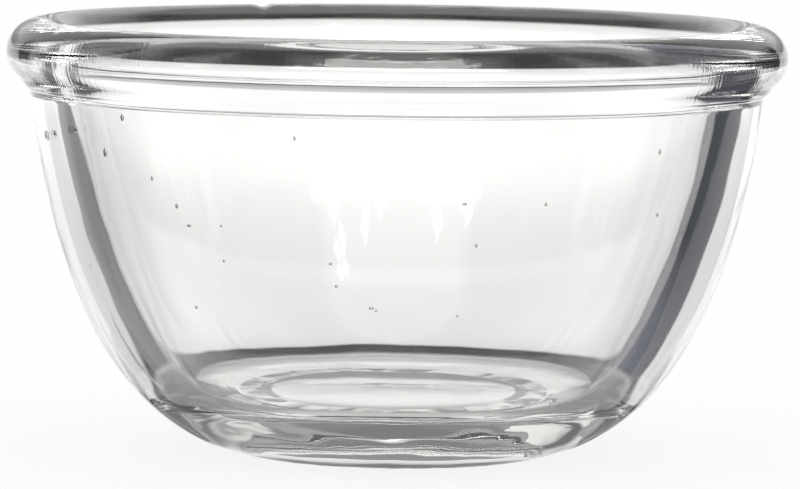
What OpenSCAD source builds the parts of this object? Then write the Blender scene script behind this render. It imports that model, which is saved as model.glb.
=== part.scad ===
// Small prep bowl, pressed in one piece of thick clear glass.
// A round bead rolls over at the rim, with a narrow collar under it where the mould's rim ring
// met its body. The wall is smooth, leans out and rounds in to a heavy base, which stands on a
// flat ring round a shallow recess.
// The bowl is one outline turned about the vertical axis. Lengths are millimetres, +Z is up, and
// the origin is on the axis, in the plane that the bowl stands on.

/* [Rim] */
// Diameter over the bead
rim_d = 90; // [80:0.5:100]
// Height from the table to the top of the bead
bowl_h = 49.6; // [44:0.2:56]
// Thickness of the round bead
bead_d = 7.5; // [6.2:0.1:8.8]
// Degrees that the bead turns below its widest point before the collar begins
bead_wrap = 57; // [45:1:65]

/* [Collar] */
// How far below the bead's widest point the collar's lower edge lies
collar_drop = 3.8; // [3.5:0.05:5]
// How far that edge stands out from the wall
collar_step = 0.6; // [0.2:0.05:1]
// Height of the slope from that edge to the wall
collar_slope_h = 0.5; // [0.3:0.05:1]
// Radius that softens that edge
collar_round = 0.3; // [0.1:0.05:0.4]

/* [Outer wall] */
// How far the bead's widest point stands out from the wall under the collar
bead_overhang = 2.7; // [2.2:0.1:3.4]
// Degrees that the wall leans in just under the collar
wall_lean = 7; // [2:0.5:12]
// Length over which the wall keeps close to that lean
wall_run = 18.3; // [12:0.1:24]
// Length over which the heel keeps close to its slope at the foot
heel_run = 16.3; // [10:0.1:20]
// Degrees between the heel and the table at the foot
heel_angle = 11; // [6:0.5:20]

/* [Inside] */
// Degrees that the inner wall leans in under the bead
inner_lean = 4.4; // [2:0.2:10]
// Length over which the inner wall keeps close to that lean
inner_run = 24; // [16:0.1:30]
// Length of the tight sweep that turns the inner wall on to the floor
floor_sweep = 2.8; // [2:0.1:6]
// Diameter of the flat floor
floor_d = 46.4; // [40:0.2:50]
// Height of the floor above the table
floor_h = 8.4; // [7:0.1:10]

/* [Base] */
// Outer diameter of the ring that the bowl stands on
foot_d = 36; // [30:0.5:42]
// Width of that ring's flat
ring_w = 2.6; // [1.6:0.1:4]
// Height of the recess inside the ring, at its edge
recess_h = 1; // [0.5:0.05:1.6]
// Extra height of the recess in the middle
recess_crown = 0.3; // [0.1:0.05:0.8]
// Width of the slope from the ring up to the recess
recess_slope_w = 1; // [0.6:0.05:1.6]
// Radius that softens the edges of that slope
recess_round = 0.5; // [0.2:0.05:0.6]

/* [Hidden] */

// Steps in a long curve of the wall, in the bead, in a softened edge and in a full turn
wall_steps = 32;
bead_steps = 44;
edge_steps = 5;
recess_steps = 8;
turn_steps = 180;

// Rim: the bead's centre, and where its arc begins and ends
bead_r = bead_d / 2;
bead_centre = [rim_d / 2 - bead_r, bowl_h - bead_r];
bead_start = -bead_wrap;
bead_end = 180 - inner_lean;

// Collar: its lower edge, and the top of the wall under it
wall_top_r = rim_d / 2 - bead_overhang;
collar_edge = [wall_top_r + collar_step, bead_centre.y - collar_drop];
wall_top = [wall_top_r, collar_edge.y - collar_slope_h];

// Base: the ring's two edges and the top of the slope inside it
foot = [foot_d / 2, 0];
ring_inner = foot - [ring_w, 0];
recess_edge = ring_inner + [-recess_slope_w, recess_h];

// Inside: the edge of the flat floor
floor_edge = [floor_d / 2, floor_h];

// A point at a distance and an angle from the origin
function polar(length, angle) = length * [cos(angle), sin(angle)];

function unit(v) = v / norm(v);

// A smooth curve from p0 to p3 that leaves towards p1 and arrives from p2
function curve(p0, p1, p2, p3, steps) = [
    for (i = [0:steps]) let (t = i / steps, s = 1 - t)
        s ^ 3 * p0 + 3 * s ^ 2 * t * p1 + 3 * s * t ^ 2 * p2 + t ^ 3 * p3
];

// An arc of a circle, in degrees
function arc(centre, radius, from, to, steps) =
    [for (i = [0:steps]) centre + polar(radius, from + (to - from) * i / steps)];

// The corner at b between the straight runs from a and to c, rounded to a radius
function soft_corner(a, b, c, radius, steps) =
    let (u = unit(a - b), v = unit(c - b), half = acos(u * v) / 2)
    let (centre = b + unit(u + v) * radius / sin(half), reach = radius / tan(half))
    let (from = b + u * reach - centre, to = b + v * reach - centre)
    [for (i = [0:steps]) centre + radius * unit(from * (steps - i) + to * i)];

// Underside: from the middle of the crowned recess down to the ring
recess_top = [
    for (i = [0:recess_steps - 1])
        [recess_edge.x * i / recess_steps, recess_h + recess_crown * cos(90 * i / recess_steps)]
];
underside = concat(
    recess_top,
    soft_corner(recess_top[recess_steps - 1], recess_edge, ring_inner, recess_round, edge_steps),
    soft_corner(recess_edge, ring_inner, foot, recess_round, edge_steps)
);

// Outer wall: from the foot round the heel and up to the collar
outer_wall = curve(
    foot, foot + polar(heel_run, heel_angle),
    wall_top + polar(wall_run, 270 - wall_lean), wall_top, wall_steps
);

// Rim: the collar's edge, then the bead from the collar over the top to the mouth
bead = arc(bead_centre, bead_r, bead_start, bead_end, bead_steps);
rim = concat(soft_corner(wall_top, collar_edge, bead[0], collar_round, edge_steps), bead);

// Inner wall: from the bead down and round on to the floor
lip = bead[bead_steps];
inner_wall = curve(
    lip, lip + polar(inner_run, 270 - inner_lean),
    floor_edge + [floor_sweep, 0], floor_edge, wall_steps
);
inner_below_lip = [for (i = [1:wall_steps]) inner_wall[i]];

module bowl() {
    color([0.86, 0.9, 0.92, 0.45])
        rotate_extrude($fn = turn_steps)
            polygon(concat(underside, outer_wall, rim, inner_below_lip, [[0, floor_h]]));
}

bowl();
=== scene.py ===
"""A small prep bowl of thick clear glass, standing on a pale table in a light studio.

One moulded piece, so the scene has one section for it, then the table, the studio light and the
camera. The scene is in metres. Sizes are written in millimetres and multiplied by MM, and angles
are degrees unless a comment says otherwise.
"""
import math

import bpy
import numpy as np
from mathutils import Matrix, Vector


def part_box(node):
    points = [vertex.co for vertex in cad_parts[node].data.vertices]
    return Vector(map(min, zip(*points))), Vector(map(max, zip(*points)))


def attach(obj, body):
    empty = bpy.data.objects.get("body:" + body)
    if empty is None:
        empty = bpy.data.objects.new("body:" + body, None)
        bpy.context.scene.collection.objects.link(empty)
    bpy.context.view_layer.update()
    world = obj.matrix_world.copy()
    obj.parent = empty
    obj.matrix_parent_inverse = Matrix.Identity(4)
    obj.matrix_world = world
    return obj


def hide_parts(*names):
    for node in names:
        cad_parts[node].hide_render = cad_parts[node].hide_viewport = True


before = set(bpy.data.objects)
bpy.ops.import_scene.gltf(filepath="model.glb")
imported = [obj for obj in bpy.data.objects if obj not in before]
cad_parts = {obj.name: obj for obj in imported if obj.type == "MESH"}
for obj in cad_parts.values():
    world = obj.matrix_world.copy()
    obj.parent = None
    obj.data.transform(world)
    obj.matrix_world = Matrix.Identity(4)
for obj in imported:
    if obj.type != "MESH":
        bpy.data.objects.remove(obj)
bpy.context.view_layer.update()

# bowl
# One piece of thick clear pressed glass with a rolled bead rim, a narrow collar and a heavy base.
# Its outline is turned about the vertical axis on a numpy grid. The seeds in the glass are small
# closed shells inside the same mesh, and the faint waves of the mould are in its material.
MM = 0.001
box_low, box_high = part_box("bowl")
RIM_RADIUS = (box_high[0] - box_low[0]) / 2 / MM
BOWL_HEIGHT = (box_high[2] - box_low[2]) / MM

BEAD_RADIUS = 3.75
BEAD_WRAP = 57
COLLAR_DROP = 3.8
COLLAR_STEP = 0.6
COLLAR_SLOPE_HEIGHT = 0.5
COLLAR_ROUND = 0.3
BEAD_OVERHANG = 2.7
WALL_LEAN = 7
WALL_RUN = 18.3
HEEL_RUN = 16.3
HEEL_ANGLE = 11
INNER_LEAN = 4.4
INNER_RUN = 24
FLOOR_SWEEP = 2.8
FLOOR_RADIUS = 23.2
FLOOR_HEIGHT = 8.4
FOOT_RADIUS = 18
RING_WIDTH = 2.6
RECESS_HEIGHT = 1
RECESS_CROWN = 0.3
RECESS_SLOPE = 1
RECESS_ROUND = 0.5

# Steps of the grid round the bowl and along each stretch of its outline
TURN_STEPS = 360
RECESS_STEPS = 10
EDGE_STEPS = 5
WALL_STEPS = 70
COLLAR_EDGE_STEPS = 6
BEAD_STEPS = 60
INNER_STEPS = 76
FLOOR_STEPS = 8


def polar(length, degrees):
    """length * (cos a, sin a), for one angle or a row of angles"""
    angle = np.radians(degrees)
    return length * np.stack([np.cos(angle), np.sin(angle)], axis=-1)


def unit(v):
    """v / |v|, for one vector or a row of vectors"""
    return v / np.linalg.norm(v, axis=-1, keepdims=True)


def curve(p0, p1, p2, p3, steps):
    """Cubic curve s^3 p0 + 3 s^2 t p1 + 3 s t^2 p2 + t^3 p3 with s = 1 - t"""
    t = np.linspace(0, 1, steps + 1)[:, None]
    s = 1 - t
    return s**3 * p0 + 3 * s**2 * t * p1 + 3 * s * t**2 * p2 + t**3 * p3


def arc(centre, radius, start, end, steps):
    """centre + radius * (cos a, sin a), a from start to end in degrees"""
    return centre + polar(radius, np.linspace(start, end, steps + 1))


def soft_corner(a, b, c, radius, steps):
    """The corner at b between runs from a and to c, rounded by centre + radius * (a unit vector
    that turns from one tangent point to the other)"""
    u = unit(a - b)
    v = unit(c - b)
    half = math.acos(u @ v) / 2
    centre = b + unit(u + v) * radius / math.sin(half)
    tangent = radius / math.tan(half)
    start = b + u * tangent - centre
    end = b + v * tangent - centre
    share = np.linspace(0, 1, steps + 1)[:, None]
    return centre + radius * unit(start * (1 - share) + end * share)


def turned(profile, steps):
    """x = r cos a, y = r sin a, z = z for each point (r, z) of a profile and each angle a"""
    angle = np.arange(steps) * 2 * math.pi / steps
    radius = profile[:, :1] + 0 * angle
    level = profile[:, 1:] + 0 * angle
    return np.stack([radius * np.cos(angle), radius * np.sin(angle), level], axis=-1)


def skin(rows, steps, first):
    """Quads between the rows of a turned grid that starts at vertex first, then a fan round each
    of the two poles that follow it, the pole beside the first row before the one beside the last"""
    here = np.arange(steps)
    after = (here + 1) % steps
    row = first + np.arange(rows - 1)[:, None] * steps
    quads = np.stack([row + here, row + after, row + steps + after, row + steps + here], axis=-1)
    last_row = first + (rows - 1) * steps
    start_pole = last_row + steps + 0 * here
    start_fan = np.stack([start_pole, first + after, first + here], axis=-1)
    end_fan = np.stack([start_pole + 1, last_row + here, last_row + after], axis=-1)
    return quads.reshape(-1, 4).tolist() + start_fan.tolist() + end_fan.tolist()


bead_centre = np.array([RIM_RADIUS - BEAD_RADIUS, BOWL_HEIGHT - BEAD_RADIUS])
wall_top_radius = RIM_RADIUS - BEAD_OVERHANG
collar_edge = np.array([wall_top_radius + COLLAR_STEP, bead_centre[1] - COLLAR_DROP])
wall_top = np.array([wall_top_radius, collar_edge[1] - COLLAR_SLOPE_HEIGHT])
foot = np.array([FOOT_RADIUS, 0.0])
ring_inner = foot - [RING_WIDTH, 0]
recess_edge = ring_inner + [-RECESS_SLOPE, RECESS_HEIGHT]
floor_edge = np.array([FLOOR_RADIUS, FLOOR_HEIGHT])

recess_shares = np.linspace(0, 1, RECESS_STEPS + 1)[:-1]
recess = np.stack([recess_edge[0] * recess_shares,
                   RECESS_HEIGHT + RECESS_CROWN * np.cos(recess_shares * math.pi / 2)], axis=1)
outer_wall = curve(foot, foot + polar(HEEL_RUN, HEEL_ANGLE),
                   wall_top + polar(WALL_RUN, 270 - WALL_LEAN), wall_top, WALL_STEPS)
bead = arc(bead_centre, BEAD_RADIUS, -BEAD_WRAP, 180 - INNER_LEAN, BEAD_STEPS)
inner_wall = curve(bead[-1], bead[-1] + polar(INNER_RUN, 270 - INNER_LEAN),
                   floor_edge + [FLOOR_SWEEP, 0], floor_edge, INNER_STEPS)
floor_shares = np.linspace(1, 0, FLOOR_STEPS + 1)[1:]
inner_floor = np.stack([FLOOR_RADIUS * floor_shares, 0 * floor_shares + FLOOR_HEIGHT], axis=1)
outline = np.concatenate([
    recess,
    soft_corner(recess[-1], recess_edge, ring_inner, RECESS_ROUND, EDGE_STEPS),
    soft_corner(recess_edge, ring_inner, foot, RECESS_ROUND, EDGE_STEPS),
    outer_wall,
    soft_corner(wall_top, collar_edge, bead[0], COLLAR_ROUND, COLLAR_EDGE_STEPS)[1:],
    bead[1:],
    inner_wall[1:],
    inner_floor,
])

# The ends of the outline are on the axis and become the poles
rings = outline[1:-1]
glass_grid = turned(rings, TURN_STEPS)

# A nick in the top of the rim and a small lump inside it, both at the back. Angles are from the
# front. One spread away from its middle each has fallen to about a third, and the nick fades out
# over its reach below the top.
NICK_ANGLE = -156.3
NICK_SPREAD = 1.1
NICK_DEPTH = 0.4
NICK_REACH = 1.8
LUMP_ANGLE = 139.4
LUMP_SPREAD = 1.4
LUMP_HEIGHT = 46.3
LUMP_HEIGHT_SPREAD = 0.7
LUMP_RISE = 0.45
from_front = np.degrees(np.arctan2(glass_grid[..., 0], -glass_grid[..., 1]))
near_top = np.clip((glass_grid[..., 2] - BOWL_HEIGHT + NICK_REACH) / NICK_REACH, 0, 1)
nick = NICK_DEPTH * near_top * np.exp(-((from_front - NICK_ANGLE) / NICK_SPREAD) ** 2)
glass_grid[..., 2] -= nick
mouth_side = np.clip(bead_centre[0] - rings[:, :1], 0, 1)
lump_level = np.exp(-((glass_grid[..., 2] - LUMP_HEIGHT) / LUMP_HEIGHT_SPREAD) ** 2)
lump = LUMP_RISE * mouth_side * lump_level * np.exp(-((from_front - LUMP_ANGLE) / LUMP_SPREAD) ** 2)
glass_grid[..., :2] *= (1 - lump / RIM_RADIUS)[..., None]

poles = [[0, 0, outline[0, 1]], [0, 0, outline[-1, 1]]]
vertices = (np.concatenate([glass_grid.reshape(-1, 3), poles]) * MM).tolist()
faces = skin(len(rings), TURN_STEPS, 0)

# Seeds: degrees from the front, height, distance from the axis, half width and half height
SEEDS = [
    (-84, 36.3, 39.7, 0.95, 0.6), (-69, 37.4, 39.9, 0.45, 0.35), (-52.6, 36, 39.7, 0.3, 0.5),
    (-47.3, 40.1, 40.3, 0.25, 0.4), (-42, 33.6, 39.3, 0.16, 0.26), (-37.5, 30.7, 38.7, 0.2, 0.28),
    (-35.5, 28.6, 38.2, 0.28, 0.18), (-29.3, 28.8, 38.2, 0.15, 0.16), (-29.6, 24.9, 37.2, 0.16, 0.18),
    (-37.2, 19.4, 35.4, 0.2, 0.2), (45.6, 37.1, 39.9, 0.16, 0.32), (47.5, 30, 38.5, 0.15, 0.22),
    (11, 31.9, 38.9, 0.25, 0.17), (-3.9, 20.2, 35.7, 0.27, 0.18), (-3.1, 19.9, 35.6, 0.15, 0.15),
    (-10.6, 25.1, 37.3, 0.18, 0.18), (-9.8, 22.6, 36.5, 0.16, 0.2), (13.3, 27.3, 37.9, 0.16, 0.24),
    (11.1, 19.4, 35.4, 0.14, 0.16), (148, 25, 37.4, 0.2, 0.24), (-160, 33, 39.2, 0.18, 0.3),
]
SEED_SIDES = 14
SEED_ROWS = 7
SEED_DEPTH_SHARE = 0.8
lift = np.radians(np.linspace(-90, 90, SEED_ROWS + 2)[1:-1])
ball = turned(np.stack([np.cos(lift), np.sin(lift)], axis=1), SEED_SIDES)
ball = np.concatenate([ball.reshape(-1, 3), [[0, 0, -1], [0, 0, 1]]])
for front_angle, seed_height, seed_radius, half_width, half_height in SEEDS:
    # The axes along, outward and up are left-handed, which turns the faces of a seed towards its
    # middle, out of the glass
    seed_angle = math.radians(front_angle)
    along = half_width * np.array([math.cos(seed_angle), math.sin(seed_angle), 0])
    outward = np.array([math.sin(seed_angle), -math.cos(seed_angle), 0])
    depth = half_width * SEED_DEPTH_SHARE * outward
    shell = ball @ [along, depth, [0, 0, half_height]] + seed_radius * outward + [0, 0, seed_height]
    faces += skin(SEED_ROWS, SEED_SIDES, len(vertices))
    vertices += (shell * MM).tolist()
bowl_mesh = bpy.data.meshes.new("bowl")
bowl_mesh.from_pydata(vertices, [], faces)
bowl_mesh.update()
bowl_mesh.shade_smooth()
bowl = bpy.data.objects.new("bowl", bowl_mesh)
bpy.context.scene.collection.objects.link(bowl)


class Socket:
    """A value in a node tree. Arithmetic on it adds Math nodes."""

    def __init__(self, shader, link):
        self.shader = shader
        self.link = link

    def __add__(self, other):
        return self.shader.math("ADD", self, other)

    def __radd__(self, other):
        return self.shader.math("ADD", other, self)

    def __sub__(self, other):
        return self.shader.math("SUBTRACT", self, other)

    def __rsub__(self, other):
        return self.shader.math("SUBTRACT", other, self)

    def __mul__(self, other):
        return self.shader.math("MULTIPLY", self, other)

    def __rmul__(self, other):
        return self.shader.math("MULTIPLY", other, self)

    def __truediv__(self, other):
        return self.shader.math("DIVIDE", self, other)


class Shader:
    """A node tree built up by calls"""

    def __init__(self, owner):
        owner.use_nodes = True
        self.tree = owner.node_tree
        self.tree.nodes.clear()

    def add(self, kind, settings=None, sockets=None, output=0):
        """One node: its settings first, then a value or a Socket for each input"""
        node = self.tree.nodes.new(kind)
        for name, value in (settings or {}).items():
            setattr(node, name, value)
        for name, value in (sockets or {}).items():
            if isinstance(value, Socket):
                self.tree.links.new(value.link, node.inputs[name])
            else:
                node.inputs[name].default_value = value
        return Socket(self, node.outputs[output]) if len(node.outputs) else None

    def math(self, operation, *values):
        """One Math node"""
        return self.add("ShaderNodeMath", {"operation": operation}, dict(enumerate(values)))

    def ramp(self, value, low, high):
        """0 up to low, 1 from high, smooth between"""
        return self.add("ShaderNodeMapRange", {"interpolation_type": "SMOOTHSTEP"},
                        {0: value, 1: low, 2: high})

    def band(self, value, low, high, soft):
        """1 between low and high, with edges as wide as soft"""
        inside = self.ramp(value, low - soft / 2, low + soft / 2)
        return inside * (1 - self.ramp(value, high - soft / 2, high + soft / 2))

    def mix(self, share, first, second):
        """A colour between first and second"""
        return self.add("ShaderNodeMix", {"data_type": "RGBA"}, {0: share, 6: first, 7: second}, 2)

    def parts(self, vector):
        """x, y and z of a vector"""
        return [self.add("ShaderNodeSeparateXYZ", {}, {0: vector}, i) for i in range(3)]

    def degrees(self, a, b):
        """The angle, in degrees, whose sine and cosine go as a and b"""
        return self.math("ARCTAN2", a, b) * (180 / math.pi)

    def ray_is(self, kind):
        """1 for rays of a kind, 0 for all others"""
        return self.add("ShaderNodeLightPath", output=f"Is {kind} Ray")


def grey(tone):
    """A neutral colour"""
    return (tone, tone, tone, 1)


# Heights between which the finish of the base fades out, and the ribs of the bead fade in
BASE_FADE = (3, 13)
BEAD_FADE = (42.5, 44.5)
# How far the surface of the glass rises: long waves, ripples all over and in the base, and ribs
WAVE_RISE = 0.05
RIPPLE_RISE = 0.004
BASE_RIPPLE_RISE = 0.045
RIB_RISE = 0.007
# A trace of grey in the thick base, and dull water marks where grain and cloud are both strong
BASE_GREY = (0.93, 0.925, 0.905, 1)
MARK_GRAIN = (0.66, 0.74)
MARK_CLOUD = (0.5, 0.62)
MARK_ROUGHNESS = 0.2
GLASS_INDEX = 1.5

glass = bpy.data.materials.new("clear glass")
look = Shader(glass)
glass_spot = look.add("ShaderNodeTexCoord", output="Object")
glass_x, glass_y, glass_z = look.parts(glass_spot)
level_up = glass_z / MM
side_angle = look.math("ARCTAN2", glass_x, 0 - glass_y)
waves = look.add("ShaderNodeTexNoise", {}, {"Vector": glass_spot, "Scale": 65, "Detail": 2})
ripples = look.add("ShaderNodeTexNoise", {}, {"Vector": glass_spot, "Scale": 125, "Detail": 1.5})
ribs = look.add("ShaderNodeTexNoise", {"noise_dimensions": "1D"},
                {"W": side_angle, "Scale": 75, "Detail": 2})
in_base = 1 - look.ramp(level_up, *BASE_FADE)
rise = waves * WAVE_RISE + ripples * (RIPPLE_RISE + BASE_RIPPLE_RISE * in_base)
rise = rise + ribs * RIB_RISE * look.ramp(level_up, *BEAD_FADE)
uneven = look.add("ShaderNodeBump", {}, {"Strength": 1, "Distance": MM, "Height": rise})
grain = look.add("ShaderNodeTexNoise", {}, {"Vector": glass_spot, "Scale": 420, "Detail": 4})
cloud = look.add("ShaderNodeTexNoise", {}, {"Vector": glass_spot, "Scale": 90, "Detail": 3})
tint = look.mix(cloud * in_base, grey(1), BASE_GREY)
marks = look.ramp(grain, *MARK_GRAIN) * look.ramp(cloud, *MARK_CLOUD)
clear = look.add("ShaderNodeBsdfPrincipled", {}, {
    "Base Color": tint, "Roughness": marks * MARK_ROUGHNESS, "Normal": uneven,
    "Transmission Weight": 1, "IOR": GLASS_INDEX})
look.add("ShaderNodeOutputMaterial", {}, {"Surface": clear})
bowl_mesh.materials.append(glass)

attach(bowl, "root")
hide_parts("bowl")

# table
# A wide white table top under the bowl, one flat sheet. Rays from the glass see the room through
# most of it. Under the bowl and far behind it they see painted tones that glow for them alone:
# a pale floor with painted shade in front, a ring of painted shade at its sides, mottles of
# painted light and shade where the foot touches, and pale table far behind.
TABLE_HALF = 6000
corners = np.array([(-1, -1, 0), (1, -1, 0), (1, 1, 0), (-1, 1, 0)]) * TABLE_HALF * MM
table_mesh = bpy.data.meshes.new("table")
table_mesh.from_pydata(corners.tolist(), [], [(0, 1, 2, 3)])
table = bpy.data.objects.new("table", table_mesh)
bpy.context.scene.collection.objects.link(table)

# The brightest tone, where white is 1, and its colour
TOP_TONE = 1.2
TOP_COLOUR = (1.2, 1.188, 1.165, 1)
# A pair is where a tone starts and where it is full, or where it fades and where it is gone if
# the name says end. A triple is the ends of a band and the width of its edges. Those named reach
# are distances from the axis, and those named turn are angles from straight behind the bowl.
# Painted floor tone for glass rays: paler towards the foot, with painted shade in front
FLOOR_TONE = 0.86
FLOOR_GAIN = 0.18
FLOOR_GAIN_REACH = (16, 21)
FLOOR_REACH_END = (22, 26)
FRONT_SHADE_LOSS = 0.5
FRONT_TURN = (110, 150)
FRONT_REACH = (8, 16)
# A ring of painted shade at the sides of the foot, seen only by glass rays
RING_SHADE_TONE = 0.3
RING_REACH = (21, 39, 3)
RING_TURN = (80, 142, 14)
# Painted mottles of light and shade where the foot touches
MOTTLE_SHADE_TONE = 0.14
MOTTLE_GAIN = 0.75
MOTTLE_EDGES = (0.38, 0.66)
MOTTLE_SOFT = 0.4
FAR_TONE = 0.88
FAR_GAIN = 0.26
FAR_GAIN_REACH = (140, 360)
FAR_REACH = (136, 166)
FAR_TURN_END = (22, 30)
# How much of the table's white the camera sees however the light falls, and its two shades
EVEN_WHITE_SHARE = 0.85
TABLE_SHADES = grey(0.95), grey(0.99)

table_look = bpy.data.materials.new("table")
top = Shader(table_look)
table_spot = top.add("ShaderNodeTexCoord", output="Object")
table_x, table_y = top.parts(table_spot)[:2]
reach = top.math("SQRT", table_x * table_x + table_y * table_y) / MM
around = top.math("ABSOLUTE", top.degrees(table_x, table_y))

# Painted floor tone seen through the base, with painted shade in front and a ring of painted shade at
# the sides
floor_area = 1 - top.ramp(reach, *FLOOR_REACH_END)
front_shade_area = top.ramp(around, *FRONT_TURN) * top.ramp(reach, *FRONT_REACH)
tone = FLOOR_TONE + FLOOR_GAIN * top.ramp(reach, *FLOOR_GAIN_REACH) - FRONT_SHADE_LOSS * front_shade_area
# Ring of painted shade at the sides
ring_shade_area = top.band(reach, *RING_REACH) * top.band(around, *RING_TURN)
tone = tone + ring_shade_area * (RING_SHADE_TONE - tone)
# Painted mottles of light and shade where the foot touches the table, which only rays inside the
# glass reach
swirl = top.add("ShaderNodeTexNoise", {},
                {"Vector": table_spot, "Scale": 210, "Detail": 2, "Distortion": 1.2})
contact_area = top.band(reach, FOOT_RADIUS - RING_WIDTH - MOTTLE_SOFT / 2,
                        FOOT_RADIUS + MOTTLE_SOFT / 2, MOTTLE_SOFT)
contact_light_and_shade = MOTTLE_SHADE_TONE + MOTTLE_GAIN * top.ramp(swirl, *MOTTLE_EDGES)
tone = tone + contact_area * (contact_light_and_shade - tone)
# Pale table far out behind the bowl
far_area = top.ramp(reach, *FAR_REACH) * (1 - top.ramp(around, *FAR_TURN_END))
tone = tone + far_area * (FAR_TONE + FAR_GAIN * top.ramp(reach, *FAR_GAIN_REACH) - tone)
painted = top.math("MAXIMUM", floor_area, top.math("MAXIMUM", ring_shade_area, far_area))
paint_colour = top.mix(tone / TOP_TONE, grey(0), TOP_COLOUR)
paint = top.add("ShaderNodeEmission", {}, {"Color": paint_colour})
unseen = top.add("ShaderNodeBsdfTransparent")
to_glass = top.add("ShaderNodeMixShader", {}, {0: painted, 1: unseen, 2: paint})
# What the camera and all rays that don't come from the glass see
table_grain = top.add("ShaderNodeTexNoise", {}, {"Vector": table_spot, "Scale": 75, "Detail": 4})
matt = top.add("ShaderNodeBsdfDiffuse", {}, {"Color": top.mix(table_grain, *TABLE_SHADES)})
white = top.add("ShaderNodeEmission", {}, {"Color": grey(1)})
plain = top.add("ShaderNodeMixShader", {}, {0: EVEN_WHITE_SHARE, 1: matt, 2: white})
from_glass = top.math("MAXIMUM", top.ray_is("Glossy"), top.ray_is("Transmission"))
surface = top.add("ShaderNodeMixShader", {}, {0: from_glass, 1: plain, 2: to_glass})
top.add("ShaderNodeOutputMaterial", {}, {"Surface": surface})
table_mesh.materials.append(table_look)

# studio
# A white room for the table and the camera. Rays from the glass see a light panel behind the
# bowl, a dark floor below it, dark flags and walls at its sides, a dim ceiling, and a window in
# front with a bright foot and bright patches, which glints on the bead and on the walls.
world = bpy.data.worlds.new("studio")
bpy.context.scene.world = world
room = Shader(world)
aim_x, aim_y, aim_z = room.parts(room.add("ShaderNodeTexCoord", output="Generated"))
# Directions: turn from straight behind the bowl, sideways the same to either side, front turn
# from straight in front of it, height above the horizon, and drop, the sine of the angle below it
turn = room.degrees(aim_x, aim_y)
sideways = room.math("ABSOLUTE", turn)
front_turn = room.degrees(aim_x, 0 - aim_y)
height = room.degrees(aim_z, room.math("SQRT", aim_x * aim_x + aim_y * aim_y))
drop = room.math("MAXIMUM", 0 - aim_z, 0)

# Pairs and triples are written as for the table.

# The panel: its light at the horizon, the changes of that with the drop as an amount and a pair,
# and what it loses to the left, in the middle and in two bands just over the horizon
PANEL_LIGHT = 1.08
PANEL_CHANGES = [(0.14, 0, 0.05), (-0.3, 0.08, 0.145), (-0.2, 0.14, 0.29), (-0.12, 0.29, 0.5)]
LEFT_LOSS = 0.07
LEFT_LOSS_TURN = (-120, -18, 16)
MIDDLE_SHARE = 0.94
SIDES_GAIN = 0.13
SIDES_GAIN_START = (2, 12)
HORIZON_LOSS = 0.42
HORIZON_HEIGHT = (2.5, 8.5, 2)
HORIZON_LINE_LOSS = 0.15
HORIZON_LINE_HEIGHT = (3, 5.4, 1.2)
HORIZON_END = (20, 34)
TOP_LIGHT = 1.6
TOP_LIGHT_COLOUR = (1.6, 1.6, 1.593, 1)
light = PANEL_LIGHT
for change, start, full in PANEL_CHANGES:
    light = light + change * room.ramp(drop, start, full)
light = light * (1 - LEFT_LOSS * room.band(turn, *LEFT_LOSS_TURN))
light = light * (MIDDLE_SHARE + SIDES_GAIN * room.ramp(sideways, *SIDES_GAIN_START))
horizon = HORIZON_LOSS * room.band(height, *HORIZON_HEIGHT)
horizon = horizon + HORIZON_LINE_LOSS * room.band(height, *HORIZON_LINE_HEIGHT)
light = light * (1 - horizon * (1 - room.ramp(sideways, *HORIZON_END)))
panel = room.mix(light / TOP_LIGHT, grey(0), TOP_LIGHT_COLOUR)

# Dark floor below the panel, which starts lower to the sides
FAR_FLOOR = grey(0.022)
NEAR_FLOOR = (0.13, 0.13, 0.128, 1)
NEAR_FLOOR_DROP = (0.5, 0.62)
FLOOR_DROP = (0.21, 0.24)
FLOOR_SLANT = 0.004
FLOOR_SIDES_END = (36, 48)
dark_floor = room.ramp(drop - FLOOR_SLANT * sideways, *FLOOR_DROP)
dark_floor = dark_floor * (1 - room.ramp(sideways, *FLOOR_SIDES_END))
dark_floor_shade = room.mix(room.ramp(drop, *NEAR_FLOOR_DROP), FAR_FLOOR, NEAR_FLOOR)

# Ceiling, darkest over the panel
CEILING_BEHIND = (0.66, 0.65, 0.64, 1)
CEILING_AT_SIDES = (0.4, 0.39, 0.38, 1)
CEILING_SIDES_START = (30, 55)
CEILING_HEIGHT = (34, 46)
CEILING_END = (100, 130)
OVER_PANEL = (0.22, 0.22, 0.23, 1)
OVER_PANEL_END = (42, 62)
overhead = room.ramp(height, *CEILING_HEIGHT)
ceiling = overhead * (1 - room.ramp(sideways, *CEILING_END))
ceiling_shade = room.mix(room.ramp(sideways, *CEILING_SIDES_START), CEILING_BEHIND, CEILING_AT_SIDES)
over_panel = overhead * (1 - room.ramp(sideways, *OVER_PANEL_END))

# Walls at the sides, and between them and the window
SIDE_WALLS = (0.2, 0.2, 0.195, 1)
SIDE_WALLS_HEIGHT = (11, 42, 8)
SIDE_WALLS_START = (48, 62)
FRONT_WALLS = grey(0.1)
FRONT_WALLS_HEIGHT = (7, 13)
FRONT_WALLS_LOW = grey(0.35)
FRONT_WALLS_LOW_HEIGHT = (-22, 9, 6)
FRONT_WALLS_START = (92, 104)
FRONT_WALLS_END = (138, 146)
side_walls = room.band(height, *SIDE_WALLS_HEIGHT) * room.ramp(sideways, *SIDE_WALLS_START)
beside_window = room.ramp(sideways, *FRONT_WALLS_START) * (1 - room.ramp(sideways, *FRONT_WALLS_END))
front_walls = beside_window * room.ramp(height, *FRONT_WALLS_HEIGHT)
front_walls_low = beside_window * room.band(height, *FRONT_WALLS_LOW_HEIGHT)

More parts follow.
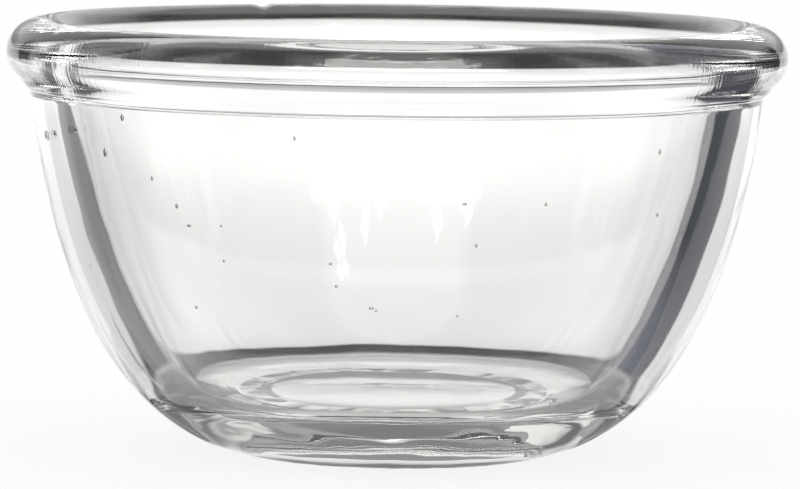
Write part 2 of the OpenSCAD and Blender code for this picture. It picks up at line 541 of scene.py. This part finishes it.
# Flags beside the panel, which draw the dark strips, and a thin rod beside the left one. The left
# flag starts farther left low down, and the right one is paler there.
FLAG_HEIGHT_END = (8, 20)
FLAG_FOOT = (-48, -36)
LEFT_FLAG = (0.2, 0.195, 0.205, 1)
LEFT_FLAG_START = -43.8
LEFT_FLAG_END = -33.2
LEFT_FLAG_SOFT = 2.2
LEFT_FLAG_WIDER = 5
LEFT_FLAG_WIDER_END = (-18, -8)
ROD = grey(0.33)
ROD_TURN = (-27.4, -24.6, 1.4)
ROD_HEIGHT = (-24, -16.5, 2)
FAR_LEFT_FLAG = (0.12, 0.115, 0.11, 1)
FAR_LEFT_FLAG_TURN = (-86, -52, 6)
FAR_LEFT_FLAG_FOOT = (-30, -18)
RIGHT_FLAG = (0.06, 0.065, 0.075, 1)
RIGHT_FLAG_LOW = (0.17, 0.175, 0.2, 1)
RIGHT_FLAG_LOW_DROP = (0.31, 0.45)
RIGHT_FLAG_START = (26.6, 28.8)
RIGHT_FLAG_END = (82, 90)
below_top = 1 - room.ramp(height, *FLAG_HEIGHT_END)
above_foot = room.ramp(height, *FLAG_FOOT)
left_edge = -LEFT_FLAG_START + LEFT_FLAG_WIDER * (1 - room.ramp(height, *LEFT_FLAG_WIDER_END))
left_flag = room.band(turn + left_edge, 0, left_edge + LEFT_FLAG_END, LEFT_FLAG_SOFT)
left_flag = left_flag * below_top * above_foot
rod = room.band(turn, *ROD_TURN) * room.band(height, *ROD_HEIGHT)
far_left_flag = room.band(turn, *FAR_LEFT_FLAG_TURN) * below_top
far_left_flag = far_left_flag * room.ramp(height, *FAR_LEFT_FLAG_FOOT)
right_flag = room.ramp(turn, *RIGHT_FLAG_START) * (1 - room.ramp(turn, *RIGHT_FLAG_END))
right_flag = right_flag * below_top * above_foot
right_flag_shade = room.mix(room.ramp(drop, *RIGHT_FLAG_LOW_DROP), RIGHT_FLAG, RIGHT_FLAG_LOW)

# Window in front and the ceiling over it, which show only where the glass mirrors them. The
# window's foot is bright, and so are patches on the rest of it: degrees across and up.
WINDOW_START = (145, 150)
WINDOW_HEIGHT = (16.5, 46, 3)
WINDOW_FOOT = (8.5, 8.3, 8, 1)
WINDOW_FOOT_END = (22.5, 26)
WINDOW_REST = (1.1, 1.08, 1.05, 1)
HIGH_FRONT = (0.6, 0.59, 0.56, 1)
HIGH_FRONT_START = (130, 150)
HIGH_FRONT_HEIGHT = (49, 84, 6)
PATCHES = [(6, 26), (-9.5, 22), (-26, 18), (-30, 27), (25.5, 27), (13, 32), (26, 37),
           (27, 44), (24, 50), (19, 50), (-18, 31), (-37, 35), (-35, 40)]
PATCH_SHADE = (6, 5.9, 5.8, 1)
PATCH_HALF_WIDTH = 2.2
PATCH_HALF_HEIGHT = 4.5
PATCH_EDGE = (0.5, 1.2)
PATCHES_FOOT = (15, 24)
patches = 0
for across, up in PATCHES:
    spread = (room.math("ABSOLUTE", front_turn - across) / PATCH_HALF_WIDTH
              + room.math("ABSOLUTE", height - up) / PATCH_HALF_HEIGHT)
    patches = patches + (1 - room.ramp(spread, *PATCH_EDGE))
on_patch = room.math("MINIMUM", patches, 1) * room.ramp(height, *PATCHES_FOOT)
window_shade = room.mix(room.ramp(height, *WINDOW_FOOT_END), WINDOW_FOOT, WINDOW_REST)
window_shade = room.mix(on_patch, window_shade, PATCH_SHADE)
mirrored = room.ray_is("Glossy")
window = room.ramp(sideways, *WINDOW_START) * room.band(height, *WINDOW_HEIGHT) * mirrored
high_front = room.ramp(sideways, *HIGH_FRONT_START) * room.band(height, *HIGH_FRONT_HEIGHT)
high_front = high_front * mirrored

# Each of them over those before it
seen = panel
for share, shade in [
    (dark_floor, dark_floor_shade),
    (ceiling, ceiling_shade),
    (front_walls, FRONT_WALLS),
    (front_walls_low, FRONT_WALLS_LOW),
    (over_panel, OVER_PANEL),
    (side_walls, SIDE_WALLS),
    (left_flag, LEFT_FLAG),
    (rod, ROD),
    (far_left_flag, FAR_LEFT_FLAG),
    (right_flag, right_flag_shade),
    (high_front, HIGH_FRONT),
    (window, window_shade),
]:
    seen = room.mix(share, seen, shade)
seen_by_glass = room.math("MAXIMUM", mirrored, room.ray_is("Transmission"))
sky = room.add("ShaderNodeBackground", {}, {"Color": room.mix(seen_by_glass, grey(1), seen)})
room.add("ShaderNodeOutputWorld", {}, {"Surface": sky})

# camera
# Long lens in front of the bowl, a little above its rim, tipped down about five degrees and
# rolled by less than one. Both of these angles are radians here.
CAMERA_DISTANCE = 650
CAMERA_HEIGHT = 82.617
LOOK_DOWN = 0.0903
ROLL = 0.0122
SENSOR_WIDTH = 36
CLIP_START = 10
CLIP_END = 100000
# Width of the photo, the column of the bowl's axis in it and the focal length, in pixels
PHOTO_WIDTH = 800
AXIS_COLUMN = 394.4415
FOCAL_PIXELS = 5645.18
camera_data = bpy.data.cameras.new("camera")
camera = bpy.data.objects.new("camera", camera_data)
bpy.context.scene.collection.objects.link(camera)
camera_data.sensor_width = SENSOR_WIDTH
camera_data.lens = FOCAL_PIXELS * SENSOR_WIDTH / PHOTO_WIDTH
camera_data.clip_start = CLIP_START * MM
camera_data.clip_end = CLIP_END * MM
middle_column = (PHOTO_WIDTH - 1) / 2
to_the_right = (middle_column - AXIS_COLUMN) * CAMERA_DISTANCE / FOCAL_PIXELS
ahead = Vector((0, math.cos(LOOK_DOWN), -math.sin(LOOK_DOWN)))
above = Vector((0, math.sin(LOOK_DOWN), math.cos(LOOK_DOWN)))
facing = Matrix((Vector((1, 0, 0)), above, -ahead)).transposed().to_4x4()
standing = Matrix.Translation((to_the_right * MM, -CAMERA_DISTANCE * MM, CAMERA_HEIGHT * MM))
camera.matrix_world = standing @ facing @ Matrix.Rotation(ROLL, 4, "Z")

# Light may cross the many surfaces of the glass
GLASS_BOUNCES = 24
OTHER_BOUNCES = 16
scene = bpy.context.scene
scene.camera = camera
scene.view_settings.view_transform = "Standard"
scene.cycles.max_bounces = GLASS_BOUNCES
scene.cycles.transmission_bounces = GLASS_BOUNCES
scene.cycles.glossy_bounces = OTHER_BOUNCES
scene.cycles.transparent_max_bounces = OTHER_BOUNCES
